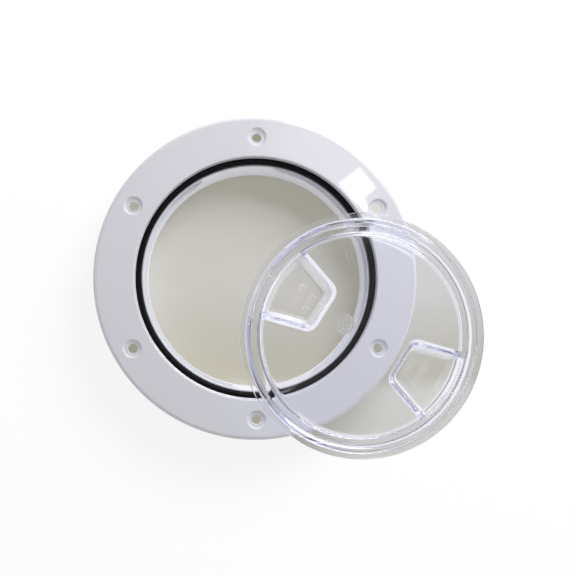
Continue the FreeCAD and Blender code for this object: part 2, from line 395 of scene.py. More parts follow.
# %% [markdown]
# Choosing, copying and joining pieces
#
# An operator acts on what is selected, so each helper first selects only the pieces it is
# meant for. What repeats is modelled once and copied. A move is baked into the mesh at
# once, so every piece's own origin stays at the middle of the ring.

# %% Helpers for whole pieces
def choose(*pieces):
    """Selects only these pieces, and makes the first of them active."""
    bpy.ops.object.select_all(action="DESELECT")
    for piece in pieces:
        piece.select_set(True)
    bpy.context.view_layer.objects.active = pieces[0]


def placed(piece, turn=0.0, shift=(0, 0, 0)):
    """Turns a piece about the upright axis and shifts it, in its mesh."""
    choose(piece)
    piece.rotation_euler.z = turn
    piece.location = shift
    bpy.ops.object.transform_apply(location=True, rotation=True, scale=False)
    return piece


def moved_copy(piece, turn=0.0, shift=(0, 0, 0)):
    """A copy with its own mesh, turned about the upright axis and shifted."""
    choose(piece)
    bpy.ops.object.duplicate(linked=False)
    return placed(bpy.context.object, turn, shift)


def repeated(piece, places):
    """Copies of a piece, one for each (turn, shift), as one object. The first is used up."""
    copies = [moved_copy(piece, turn, shift) for turn, shift in places]
    bpy.data.objects.remove(piece)
    choose(*copies)
    bpy.ops.object.join()
    return copies[0]


def combine(piece, other, operation):
    """Joins a piece with another, or cuts or crosses it. The other one is used up."""
    choose(piece)
    modifier = piece.modifiers.new(operation.title(), "BOOLEAN")
    modifier.operation = operation
    modifier.solver = "EXACT"
    modifier.object = other
    bpy.ops.object.modifier_apply(modifier=modifier.name)
    bpy.data.objects.remove(other, do_unlink=True)
    return piece


def combine_pair(piece, other, operation):
    """Combines a piece with another and with its copy half a turn round."""
    opposite = moved_copy(other, turn=math.pi)
    combine(piece, other, operation)
    combine(piece, opposite, operation)


print("helpers for whole pieces ready")

# %% [markdown]
# Turning a section
#
# Both the ring and the cover are round mouldings, and a round moulding is drawn as half of
# its section. By hand one would add a plane, merge it to a single vertex, extrude that
# vertex from corner to corner, and spin the line about the upright axis. The helpers below
# do exactly that. Circles of edges are then picked by their radius and height and
# bevelled, so each round is a number and not a list of points.

# %% Helpers for turned pieces
TURN_STEPS = 240
CLEAR_STEPS = 480
CUTTER_STEPS = 232
SNAP = 0.01 * MM


def drawn_line(name, corners):
    """A vertex extruded through (radius, height) corners, left in edit mode, selected."""
    bpy.ops.object.select_all(action="DESELECT")
    bpy.ops.mesh.primitive_plane_add(size=MM)
    piece = bpy.context.object
    piece.name = name
    bpy.ops.object.mode_set(mode="EDIT")
    bpy.ops.mesh.select_mode(type="VERT")
    bpy.ops.mesh.select_all(action="SELECT")
    bpy.ops.mesh.merge(type="CENTER")
    bpy.ops.transform.translate(value=(corners[0][0], 0, corners[0][1]))
    for (radius, height), (next_radius, next_height) in zip(corners, corners[1:]):
        step = (next_radius - radius, 0, next_height - height)
        bpy.ops.mesh.extrude_vertices_move(TRANSFORM_OT_translate={"value": step})
    bpy.ops.mesh.select_all(action="SELECT")
    return piece


def turned(name, section, steps=TURN_STEPS):
    """A section drawn through its corners and spun all the way round."""
    piece = drawn_line(name, section)
    bpy.ops.mesh.spin(steps=steps, angle=math.tau, center=(0, 0, 0), axis=(0, 0, 1))
    tidy_shell()
    return piece


def tidy_shell():
    """Merges doubled points and turns all faces outwards, then leaves edit mode."""
    bpy.ops.mesh.select_all(action="SELECT")
    bpy.ops.mesh.remove_doubles(threshold=SNAP / 10)
    bpy.ops.mesh.normals_make_consistent(inside=False)
    bpy.ops.object.mode_set(mode="OBJECT")


def edit(piece, mode="EDGE"):
    """Opens a piece in edit mode with nothing selected, and gives its mesh."""
    choose(piece)
    bpy.ops.object.mode_set(mode="EDIT")
    bpy.ops.mesh.select_mode(type=mode)
    bpy.ops.mesh.select_all(action="DESELECT")
    return bmesh.from_edit_mesh(piece.data)


def pick_edges(piece, wanted):
    """Opens a piece with those edges selected that a test wants."""
    for edge in edit(piece).edges:
        edge.select_set(wanted(edge))
    bmesh.update_edit_mesh(piece.data)


def round_edges(piece, wanted, width, steps):
    """Rounds the edges that a test wants."""
    pick_edges(piece, wanted)
    bpy.ops.mesh.bevel(offset=width, segments=steps, profile=0.5, affect="EDGES")
    bpy.ops.object.mode_set(mode="OBJECT")


def round_circle(piece, radius, height, width, steps):
    """Rounds the circle of edges at a radius and a height."""
    def on_circle(edge):
        ends = [vertex.co for vertex in edge.verts]
        return all(abs(end.xy.length - radius) < SNAP and abs(end.z - height) < SNAP
                   for end in ends)
    round_edges(piece, on_circle, width, steps)


print("the ring is turned with", TURN_STEPS, "steps and the cover with", CLEAR_STEPS)

# %% [markdown]
# The white ring: its turned body
#
# The ring is one injection moulding. From outside in, its section has a flange with a full
# round on its upper edge, a recess with a soft lip that takes the cover and the seal ring,
# a seat that falls a little towards the seal's groove, a low lip that keeps the seal from
# sliding inwards, and the collar that hangs below the deck. Below the flange a short
# thicker step, the spigot, centres it in the hole in the deck.

# %% Ring body
RING_WALL = 2.6 * MM
PLATE_THICKNESS = 2.8 * MM
SEAL_LIFT = 0.02 * MM
SEAL_PLAY = 0.03 * MM
SEAT_GAP = 0.1 * MM
SEAT_FALL = 0.12 * MM
LIP_HEIGHT = 0.5 * MM
LIP_GAP = 0.1 * MM
COLLAR_DRAFT = 0.6 * MM
THREADED_DEPTH = 9.0 * MM

RECESS_RADIUS = SPIGOT_RADIUS - RING_WALL
GROOVE_FLOOR = seal_low.z - SEAL_LIFT
GROOVE_RADIUS = SEAL_RADIUS + SEAL_SECTION / 2 + SEAL_PLAY
SEAT_TOP = FLANGE_TOP - PLATE_THICKNESS - SEAT_GAP
LIP_TOP = GROOVE_FLOOR + LIP_HEIGHT
LIP_RADIUS = SEAL_RADIUS - SEAL_SECTION / 2 - LIP_GAP
BORE_RADIUS = 51.0 * MM
BORE_FOOT = BORE_RADIUS - COLLAR_DRAFT
COLLAR_RADIUS = BORE_RADIUS + RING_WALL
SPIGOT_FOOT = GROOVE_FLOOR - RING_WALL

ring = turned("white_ring", [
    (FLANGE_RADIUS, 0),
    (FLANGE_RADIUS, FLANGE_TOP),
    (RECESS_RADIUS, FLANGE_TOP),
    (RECESS_RADIUS, SEAT_TOP),
    (GROOVE_RADIUS, SEAT_TOP - SEAT_FALL),
    (GROOVE_RADIUS, GROOVE_FLOOR),
    (LIP_RADIUS, GROOVE_FLOOR),
    (LIP_RADIUS, LIP_TOP),
    (BORE_RADIUS, LIP_TOP),
    (BORE_RADIUS, -THREADED_DEPTH),
    (BORE_FOOT, COLLAR_FOOT),
    (COLLAR_RADIUS, COLLAR_FOOT),
    (COLLAR_RADIUS, SPIGOT_FOOT),
    (SPIGOT_RADIUS, SPIGOT_FOOT),
    (SPIGOT_RADIUS, 0),
    (FLANGE_RADIUS, 0),
])
print("ring body:", len(ring.data.polygons), "faces")

# %% Ring's rounds
# Each line gives a circle's radius and height, the round's width in mm, and its steps.
RING_ROUNDS = (
    (FLANGE_RADIUS, FLANGE_TOP, 2.0, 10),
    (FLANGE_RADIUS, 0, 0.3, 3),
    (RECESS_RADIUS, FLANGE_TOP, 0.7, 6),
    (BORE_RADIUS, LIP_TOP, 0.3, 3),
    (BORE_FOOT, COLLAR_FOOT, 0.5, 4),
    (COLLAR_RADIUS, COLLAR_FOOT, 0.4, 3),
    (SPIGOT_RADIUS, SPIGOT_FOOT, 0.4, 3),
)
for radius, height, width, steps in RING_ROUNDS:
    round_circle(ring, radius, height, width * MM, steps)
print("rounded ring:", len(ring.data.polygons), "faces")

# %% [markdown]
# The screw holes and the hollow underside
#
# Each screw sits in a shallow dished recess with a soft rim. One plug is turned whose mouth
# flares like that rim, copied round the bolt circle, and all six are cut away at once. The
# flange's underside is hollow between its two lands, as such mouldings are so that they do
# not sink while they cool, and a boss stays round every screw.

# %% Screw holes
SCREW_SEAT = 3.3 * MM
SCREW_MOUTH = 4.5 * MM
SCREW_RECESS_DEPTH = 1.2 * MM
FIRST_SCREW = math.radians(30)
MOUTH_ROUND = 0.6 * MM
WALL_LEAN = math.radians(38)
EDGE_BREAK = 0.15 * MM
SMALL_STEPS = 50
PAST = 1.0 * MM
SCREW_PLACES = [
    (0.0, Matrix.Rotation(FIRST_SCREW + math.tau * index / SCREW_COUNT, 3, "Z")
     @ Vector((SCREW_CIRCLE, 0, 0)))
    for index in range(SCREW_COUNT)
]


def flare(radius, height, width, lean, steps=5):
    """The points of a round that opens a leaning wall outwards to a radius, up to a height."""
    turns = [lean + (math.pi / 2 - lean) * step / steps for step in range(steps + 1)]
    return [
        (radius - width * math.cos(turn), height - width * (1 - math.sin(turn)))
        for turn in turns
    ]


seat_height = FLANGE_TOP - SCREW_RECESS_DEPTH
plug = turned("screw_plug", [
    (0, -PAST),
    (SCREW_HOLE, -PAST),
    (SCREW_HOLE, seat_height - EDGE_BREAK),
    (SCREW_HOLE + EDGE_BREAK, seat_height),
    (SCREW_SEAT - EDGE_BREAK, seat_height),
    (SCREW_SEAT + EDGE_BREAK / 2, seat_height + EDGE_BREAK),
    *flare(SCREW_MOUTH, FLANGE_TOP, MOUTH_ROUND, WALL_LEAN),
    (SCREW_MOUTH, FLANGE_TOP + PAST),
    (0, FLANGE_TOP + PAST),
], SMALL_STEPS)
combine(ring, repeated(plug, SCREW_PLACES), "DIFFERENCE")
print("cut", SCREW_COUNT, "screw holes:", len(ring.data.polygons), "faces")

# %% Hollow underside
LAND_WIDTH = 3.2 * MM
HOLLOW_TOP = FLANGE_TOP - RING_WALL
HOLLOW_INSIDE = SPIGOT_RADIUS + LAND_WIDTH
HOLLOW_OUTSIDE = FLANGE_RADIUS - LAND_WIDTH
BOSS_RADIUS = SCREW_MOUTH + RING_WALL

hollow = turned("hollow", [
    (HOLLOW_INSIDE, -PAST),
    (HOLLOW_OUTSIDE, -PAST),
    (HOLLOW_OUTSIDE, HOLLOW_TOP),
    (HOLLOW_INSIDE, HOLLOW_TOP),
    (HOLLOW_INSIDE, -PAST),
], CUTTER_STEPS)
boss = turned("boss", [
    (0, -2 * PAST),
    (BOSS_RADIUS, -2 * PAST),
    (BOSS_RADIUS, FLANGE_TOP),
    (0, FLANGE_TOP),
], SMALL_STEPS)
combine(hollow, repeated(boss, SCREW_PLACES), "DIFFERENCE")
combine(ring, hollow, "DIFFERENCE")
print("hollow underside:", len(ring.data.polygons), "faces")

# %% [markdown]
# The quick thread
#
# The cover screws home in less than half a turn, on two coarse ridges. A ridge is a
# trapezoid swept up a helix. By hand one would shape a plane into the section and give it a
# Screw modifier. The ends are then pushed down into the wall over a few steps, because a
# moulded thread starts as a ramp and not as a cliff. One ridge is made, and its copy
# stands half a turn round.

# %% Thread ridges
THREAD_LEAD = 8.0 * MM
THREAD_HEIGHT = 1.5 * MM
THREAD_ROOT = 2.0 * MM
THREAD_BURIED = 0.5 * MM
RAMP_TURN = 7.5
RAMP_FALL = 0.98
SAME_WAY = 1 - 1e-6


def ridge(name, root, crest, low_turn, low_height, span, wall_steps, crest_width):
    """A ridge of the right-hand quick thread; turns and span are in degrees."""
    way = 1 if crest > root else -1
    base = root - way * THREAD_BURIED
    slope = (THREAD_ROOT - crest_width) / 2 / THREAD_HEIGHT
    base_half = THREAD_ROOT / 2 + THREAD_BURIED * slope
    crest_half = crest_width / 2
    piece = drawn_line(name, [
        (base, -base_half), (crest, -crest_half), (crest, crest_half), (base, base_half),
    ])
    bpy.ops.mesh.edge_face_add()
    bpy.ops.mesh.delete(type="ONLY_FACE")
    bpy.ops.object.mode_set(mode="OBJECT")
    steps = round(span / 360 * wall_steps)
    sweep = piece.modifiers.new("Sweep", "SCREW")
    sweep.angle = math.radians(span)
    sweep.screw_offset = THREAD_LEAD * span / 360
    sweep.steps = steps
    sweep.render_steps = steps
    sweep.use_smooth_shade = False
    bpy.ops.object.modifier_apply(modifier=sweep.name)
    ramp_ends(piece, crest, base, span, steps)
    edit(piece)
    bpy.ops.mesh.select_non_manifold()
    bpy.ops.mesh.fill_holes(sides=0)
    tidy_shell()
    return placed(piece, math.radians(low_turn), (0, 0, low_height))


def ramp_ends(piece, crest, base, span, steps):
    """Pushes the crest at both ends of a ridge down to its base in a few steps."""
    ramp_steps = round(RAMP_TURN / span * steps)
    for index in range(ramp_steps):
        share = 1 - index / ramp_steps
        for turn in (index * span / steps, span - index * span / steps):
            outward = Vector((math.cos(math.radians(turn)), math.sin(math.radians(turn)), 0))
            mesh = edit(piece, "VERT")
            for vertex in mesh.verts:
                on_crest = abs(vertex.co.xy.length - crest) < SNAP
                here = vertex.co.xy.normalized().dot(outward.xy) > SAME_WAY
                vertex.select_set(on_crest and here)
            mesh.select_flush_mode()
            bmesh.update_edit_mesh(piece.data)
            bpy.ops.transform.translate(value=outward * (base - crest) * share * RAMP_FALL)
            bpy.ops.object.mode_set(mode="OBJECT")


print("a ridge climbs", THREAD_LEAD / MM, "mm a turn")

# %% Collar thread
COLLAR_SPAN = 148.0
COVER_SPAN = 160.0
SPARE_SPAN = (COVER_SPAN - COLLAR_SPAN) / 2
COVER_THREAD_TURN = 20.5
CLOSED_TURN = 90.0
SKIRT_DEPTH = 9.5 * MM
THREAD_RISE = 1.2 * MM
RIDGE_GAP = 1.62 * MM
COLLAR_CREST = 1.0 * MM

closed_height = FLANGE_TOP - PLATE_THICKNESS - SKIRT_DEPTH + THREAD_RISE
collar_low = closed_height + RIDGE_GAP + THREAD_LEAD * SPARE_SPAN / 360
collar_ridge = ridge("collar_ridge", BORE_RADIUS, BORE_RADIUS - THREAD_HEIGHT,
                     CLOSED_TURN + COVER_THREAD_TURN + SPARE_SPAN, collar_low,
                     COLLAR_SPAN, TURN_STEPS, COLLAR_CREST)
combine_pair(ring, collar_ridge, "UNION")
print("ring with thread:", len(ring.data.polygons), "faces")

# %% [markdown]
# The seal ring
#
# The seal is a plain rubber ring of round section. It could be a torus, but it is spun from
# its section like the rest, so that its points lie in line with those of the ring's groove.

# %% Seal ring
SEAL_POINTS = 24


def seal_section():
    """Corners of the round section."""
    centre = (seal_low.z + seal_high.z) / 2
    half = SEAL_SECTION / 2
    turns = [math.tau * index / SEAL_POINTS for index in range(SEAL_POINTS + 1)]
    return [(SEAL_RADIUS + half * math.cos(turn), centre + half * math.sin(turn))
            for turn in turns]


seal = turned("seal_ring", seal_section())
print("seal ring:", len(seal.data.polygons), "faces")

# %% [markdown]
# The clear cover: plate and skirt
#
# The cover is also one moulding. A flat plate overhangs a round skirt, and the overhang is
# what presses on the seal. A fine groove runs round inside that sealing land, and the
# skirt's foot and its root under the plate have full rounds. It is drawn with its top at
# height zero and its two finger wells along X, and only laid on the flange when it is
# finished, which keeps every number simple. The flat top and underside are made single
# faces, because many thin triangles would show as facets in the reflections.

# %% Cover plate and skirt
TICK_HEIGHT = 0.3 * MM
SKIRT_PLAY = 0.4 * MM
SKIRT_WALL = 3.1 * MM
SKIRT_DRAFT = 1.0 * MM
LAND_INSIDE = 52.1 * MM
GROOVE_DEPTH = 0.8 * MM

COVER_TOP = cover_high.z - TICK_HEIGHT
SKIRT_RADIUS = BORE_RADIUS - SKIRT_PLAY - THREAD_HEIGHT
SKIRT_INSIDE = SKIRT_RADIUS - SKIRT_WALL
SKIRT_ROOT = SKIRT_INSIDE - SKIRT_DRAFT
SKIRT_FOOT = -PLATE_THICKNESS - SKIRT_DEPTH

cover = turned("clear_cover_piece", [
    (0, 0),
    (PLATE_RADIUS, 0),
    (PLATE_RADIUS, -PLATE_THICKNESS),
    (LAND_INSIDE, -PLATE_THICKNESS),
    (LAND_INSIDE - GROOVE_DEPTH, GROOVE_DEPTH - PLATE_THICKNESS),
    (LAND_INSIDE - 2 * GROOVE_DEPTH, -PLATE_THICKNESS),
    (SKIRT_RADIUS, -PLATE_THICKNESS),
    (SKIRT_RADIUS, SKIRT_FOOT),
    (SKIRT_INSIDE, SKIRT_FOOT),
    (SKIRT_ROOT, -PLATE_THICKNESS),
    (0, -PLATE_THICKNESS),
], CLEAR_STEPS)
print("cover body:", len(cover.data.polygons), "faces")

# %% Cover's flat faces and rounds
FLAT = 1e-4
# Each line gives a circle's radius and height, the round's width in mm, and its steps.
COVER_ROUNDS = (
    (PLATE_RADIUS, 0, 0.5, 6),
    (PLATE_RADIUS, -PLATE_THICKNESS, 0.3, 4),
    (SKIRT_RADIUS, -PLATE_THICKNESS, 0.4, 4),
    (SKIRT_RADIUS, SKIRT_FOOT, 0.8, 5),
    (SKIRT_INSIDE, SKIRT_FOOT, 1.8, 8),
    (SKIRT_ROOT, -PLATE_THICKNESS, 1.8, 8),
)


def one_flat_face(piece, height, radius):
    """Merges the fan of triangles in a flat disc into one face."""
    mesh = edit(piece, "FACE")
    for face in mesh.faces:
        middle = face.calc_center_median()
        flat = abs(abs(face.normal.z) - 1) < FLAT
        face.select_set(flat and abs(middle.z - height) < SNAP and middle.xy.length < radius)
    bmesh.update_edit_mesh(piece.data)
    bpy.ops.mesh.dissolve_faces()
    bpy.ops.object.mode_set(mode="OBJECT")


one_flat_face(cover, 0, PLATE_RADIUS)
one_flat_face(cover, -PLATE_THICKNESS, SKIRT_ROOT)
for radius, height, width, steps in COVER_ROUNDS:
    round_circle(cover, radius, height, width * MM, steps)
print("rounded cover:", len(cover.data.polygons), "faces")

# %% [markdown]
# The finger wells
#
# Two wedge-shaped wells let fingers turn the cover. Each is a drafted block under the plate
# with a drafted pocket in it, so its walls are of even thickness. A plane is moved into the
# wedge's outline, extruded down, narrowed at its foot, rounded at its corners, and crossed
# with a cone, which gives the curved outer wall.

# %% A well's wedge
WELL_INNER = 21.3 * MM
WELL_OUTER = 45.8 * MM
WELL_HALF_WIDTH = 8.7 * MM
WELL_SIDE_ANGLE = 16.7
WELL_SIDE_SLOPE = math.tan(math.radians(WELL_SIDE_ANGLE))
WELL_DEPTH = 12.5 * MM
INNER_DRAFT = 2.5 * MM
SIDE_DRAFT = 1.4 * MM
WEDGE_REACH = 60.0 * MM


def move_vertex(piece, here, there):
    """Moves the vertex that lies nearest to a place."""
    mesh = edit(piece, "VERT")
    nearest = min(mesh.verts, key=lambda vertex: (vertex.co - here).length)
    nearest.select_set(True)
    mesh.select_flush_mode()
    bmesh.update_edit_mesh(piece.data)
    bpy.ops.transform.translate(value=there - here)
    bpy.ops.object.mode_set(mode="OBJECT")


def wedge_corner(depth, spread, outer, side):
    """A corner of a well's outline at a depth, spread outwards by a wall."""
    share = depth / WELL_DEPTH
    inner_x = WELL_INNER - spread + INNER_DRAFT * share
    x = WEDGE_REACH if outer else inner_x
    half = WELL_HALF_WIDTH + spread * math.hypot(1, WELL_SIDE_SLOPE) - SIDE_DRAFT * share
    return Vector((x, side * (half + (x - inner_x) * WELL_SIDE_SLOPE), -depth))


def wedge(name, top_depth, foot_depth, spread):
    """A plane moved into a well's outline and extruded down to its narrower foot."""
    bpy.ops.object.select_all(action="DESELECT")
    bpy.ops.mesh.primitive_plane_add(size=2 * MM)
    block = bpy.context.object
    block.name = name
    corners = [(outer, side) for outer in (False, True) for side in (-1, 1)]
    for outer, side in corners:
        start = Vector((MM if outer else -MM, side * MM, 0))
        move_vertex(block, start, wedge_corner(top_depth, spread, outer, side))
    edit(block, "FACE")
    bpy.ops.mesh.select_all(action="SELECT")
    drop = Vector((0, 0, top_depth - foot_depth))
    bpy.ops.mesh.extrude_region_move(TRANSFORM_OT_translate={"value": drop})
    bpy.ops.object.mode_set(mode="OBJECT")
    for outer, side in corners:
        below = wedge_corner(top_depth, spread, outer, side) + drop
        move_vertex(block, below, wedge_corner(foot_depth, spread, outer, side))
    return block


print("a well narrows by", round(2 * SIDE_DRAFT / MM, 1), "mm to its foot")

# %% Wells
WELL_WALL = 2.6 * MM
WELL_FLOOR = 2.4 * MM
OUTER_DRAFT = 3.9 * MM
CORNER_ROUND = 2.4 * MM
CORNER_STEPS = 8
FOOT_STEPS = 5


def upright_corner(edge):
    """Whether an edge is one of the wedge's upright ones near the cover's middle."""
    ends = [vertex.co for vertex in edge.verts]
    upright = abs(ends[0].z - ends[1].z) > MM
    return upright and all(end.x < WEDGE_REACH - SNAP for end in ends)


def round_foot(block, foot_depth, width):
    """Rounds the wedge's foot, all but its far end, which the cone cuts off."""
    def at_foot(edge):
        ends = [vertex.co for vertex in edge.verts]
        low = all(abs(end.z + foot_depth) < SNAP for end in ends)
        far = all(end.x > WEDGE_REACH - SNAP for end in ends)
        return low and not far
    round_edges(block, at_foot, width, FOOT_STEPS)


def well_block(name, top_depth, foot_depth, spread, foot_round):
    """A well's drafted block, rounded at its inner corners and foot, curved outside."""
    block = wedge(name, top_depth, foot_depth, spread)
    width = (CORNER_ROUND + spread) / math.tan(math.radians(90 + WELL_SIDE_ANGLE) / 2)
    round_edges(block, upright_corner, width, CORNER_STEPS)
    edit(block)
    tidy_shell()
    round_foot(block, foot_depth, foot_round)
    top_radius = WELL_OUTER + spread - OUTER_DRAFT * top_depth / WELL_DEPTH
    foot_radius = WELL_OUTER + spread - OUTER_DRAFT * foot_depth / WELL_DEPTH
    cone = turned("cone", [
        (0, -top_depth),
        (top_radius, -top_depth),
        (foot_radius, -foot_depth),
        (0, -foot_depth),
    ], CUTTER_STEPS)
    one_flat_face(cone, -top_depth, top_radius)
    one_flat_face(cone, -foot_depth, foot_radius)
    round_circle(cone, foot_radius, -foot_depth, foot_round, FOOT_STEPS)
    return combine(block, cone, "INTERSECT")


for name, top_depth, foot_depth, spread, foot_round, operation in (
    ("well_block", PLATE_THICKNESS / 2, WELL_DEPTH + WELL_FLOOR, WELL_WALL, 1.6 * MM, "UNION"),
    ("well_pocket", -PAST, WELL_DEPTH, 0, 1.0 * MM, "DIFFERENCE"),
):
    combine_pair(cover, well_block(name, top_depth, foot_depth, spread, foot_round), operation)
    print(name, "done, cover has", len(cover.data.polygons), "faces")

# %% [markdown]
# The cover's finer forms
#
# The mouths of the wells are softened by bevelling their edge loops. Two thread ridges go
# round the skirt, with narrower crests than the collar's, so that they catch the light as
# fine lines. Rows of small raised strokes stand on the well floors, a short raised tick
# marks each well's direction near the rim, and a few plain raised rings stand near the
# middle. These low forms could be a bump in the material, but only real edges bend light.
# Everything is merged into one closed shell, because light bends wrongly where two shells
# of clear plastic overlap.

# %% Well mouths
MOUTH_SOFTNESS = 0.45 * MM
MOUTH_STEPS = 4
MOUTH_MERGE = 0.2 * MM
SHARP_TURN = 1


def at_mouth(edge):
    """Whether an edge lies where the plate's top turns down into a well."""
    flat = all(abs(vertex.co.z) < SNAP for vertex in edge.verts)
    inside = all(vertex.co.xy.length < WELL_OUTER + MM for vertex in edge.verts)
    turns_down = len(edge.link_faces) == 2 and edge.calc_face_angle(0) > SHARP_TURN
    return flat and inside and turns_down


pick_edges(cover, at_mouth)
bpy.ops.mesh.remove_doubles(threshold=MOUTH_MERGE)
bpy.ops.object.mode_set(mode="OBJECT")
round_edges(cover, at_mouth, MOUTH_SOFTNESS, MOUTH_STEPS)
print("soft mouths:", len(cover.data.polygons), "faces")

# %% Cover thread
COVER_CREST = 0.2 * MM

cover_ridge = ridge("cover_ridge", SKIRT_RADIUS, SKIRT_RADIUS + THREAD_HEIGHT,
                    COVER_THREAD_TURN, SKIRT_FOOT + THREAD_RISE,
                    COVER_SPAN, CLEAR_STEPS, COVER_CREST)
combine_pair(cover, cover_ridge, "UNION")
print("cover with thread:", len(cover.data.polygons), "faces")

# %% Strokes and ticks
STROKE_ROWS = ((27.2 * MM, 5), (33.2 * MM, 7))
STROKE_SIZE = Vector((3.4, 0.9, 0.9)) * MM
STROKE_PITCH = 1.9 * MM
TICK_SIZE = Vector((2.9, 0.7, 0.6)) * MM
TICK_EDGE = 4.9 * MM
BAR_SOFTNESS = 0.45
SOFT_STEPS = 3


def bar(name, size):
    """A low bar at the plate's top, its edges softened."""
    bpy.ops.object.select_all(action="DESELECT")
    bpy.ops.mesh.primitive_plane_add(size=1)
    piece = bpy.context.object
    piece.name = name
    edit(piece, "FACE")
    bpy.ops.mesh.select_all(action="SELECT")
    bpy.ops.transform.resize(value=(size.x, size.y, 1))
    bpy.ops.transform.translate(value=(0, 0, -size.z / 2))
    bpy.ops.mesh.extrude_region_move(TRANSFORM_OT_translate={"value": (0, 0, size.z)})
    bpy.ops.mesh.bevel(offset=min(size) * BAR_SOFTNESS, segments=SOFT_STEPS, profile=0.5,
                       affect="EDGES")
    tidy_shell()
    return piece


stroke_places = []
for side in (0, math.pi):
    for row_place, count in STROKE_ROWS:
        for index in range(count):
            across = (index - (count - 1) / 2) * STROKE_PITCH
            place = Matrix.Rotation(side, 3, "Z") @ Vector((row_place, across, -WELL_DEPTH))
            stroke_places.append((side, place))
combine(cover, repeated(bar("well_stroke", STROKE_SIZE), stroke_places), "UNION")
tick_place = PLATE_RADIUS - TICK_EDGE - TICK_SIZE.x / 2
combine_pair(cover, placed(bar("index_tick", TICK_SIZE), shift=(tick_place, 0, 0)), "UNION")
print("cover with strokes and ticks:", len(cover.data.polygons), "faces")

# %% Raised rings
WELL_TURN = math.radians(147.5)
MARK_TURN = math.radians(149) - WELL_TURN
MARK_PLACE = 9.7 * MM
MARK_HEIGHT = 0.26 * MM
MARK_SOFTNESS = 0.9
MARK_SINK = 0.3 * MM
MARK_RINGS = ((3.4, 4.4), (2.3, 2.9), (1.4, 2.0), (0.4, 1.0))


def raised_ring(name, inner, outer):
    """A flat ring that stands a little above the plate's top."""
    piece = turned(name, [
        (inner, -MARK_SINK),
        (outer, -MARK_SINK),
        (outer, MARK_HEIGHT),
        (inner, MARK_HEIGHT),
        (inner, -MARK_SINK),
    ], SMALL_STEPS)
    for radius in (outer, inner):
        round_circle(piece, radius, MARK_HEIGHT, MARK_HEIGHT * MARK_SOFTNESS, SOFT_STEPS)
    return piece


mark_place = Matrix.Rotation(MARK_TURN, 3, "Z") @ Vector((MARK_PLACE, 0, 0))
for inner, outer in MARK_RINGS:
    mark = raised_ring("mark_ring", inner * MM, outer * MM)
    combine(cover, placed(mark, shift=mark_place), "UNION")
print("cover with rings:", len(cover.data.polygons), "faces")

# %% [markdown]
# Laying the cover down and smoothing
#
# The finished cover is turned so that its wells point as in the photograph and moved to
# where the frame has it. Smooth shading by angle keeps true corners sharp, and weighted
# normals keep the large flat faces flat right up to their rounds, which a mirror-like
# surface needs.

# %% Place and smooth
SMOOTH_ANGLE = math.radians(32)
FACE_WEIGHT = 90
WELD = 0.004 * MM


def finish_shape(piece):
    """Welds what the cuts left apart, then smooth shading with flat faces kept flat."""
    edit(piece, "VERT")
    bpy.ops.mesh.select_all(action="SELECT")
    bpy.ops.mesh.remove_doubles(threshold=WELD)
    bpy.ops.mesh.dissolve_degenerate(threshold=WELD)
    bpy.ops.mesh.select_all(action="DESELECT")
    bpy.ops.mesh.select_non_manifold()
    bpy.ops.mesh.fill_holes(sides=0)
    bpy.ops.object.mode_set(mode="OBJECT")
    bpy.ops.object.shade_smooth_by_angle(angle=SMOOTH_ANGLE)
    weighted = piece.modifiers.new("Weighted", "WEIGHTED_NORMAL")
    weighted.keep_sharp = True
    weighted.weight = FACE_WEIGHT
    bpy.ops.object.modifier_apply(modifier=weighted.name)


placed(cover, WELL_TURN, (COVER_PLACE.x, COVER_PLACE.y, COVER_TOP))
for piece in (ring, seal, cover):
    finish_shape(piece)
    print(piece.name, len(piece.data.polygons), "faces, size in mm",
          [round(size / MM, 2) for size in piece.dimensions])

# %% [markdown]
# Handling marks
#
# Nothing that has been handled is perfectly even. All three materials share one effect:
# sparse hair-thin scratches and a faint blotchy haze. It is built once as a node group that
# puts out two masks, and each material decides what to do with them. The scratches are the
# cell borders of a stretched Voronoi pattern, broken up by noise. A painted picture could
# show them too, but would need a flat layout of every piece.

# %% Shared wear group
SCRATCH_LEAN = (0.2, 0.1, 0.9)
SCRATCH_STRETCH = (1.0, 0.35, 1.0)
BEND_SCALE = 14.0
BEND_SHARE = 0.012
BREAK_SCALE = 55.0
BREAK_BAND = (0.6, 0.72)
HAZE_DETAIL = 4.0
PLAIN_DETAIL = 2.0


def object_noise(tree, scale, detail=PLAIN_DETAIL):
    """Cloudy noise that is fixed to the object."""
    place = add_node(tree, "TexCoord").outputs["Object"]
    inputs = {"Vector": place, "Scale": scale, "Detail": detail}
    return add_node(tree, "TexNoise", inputs).outputs


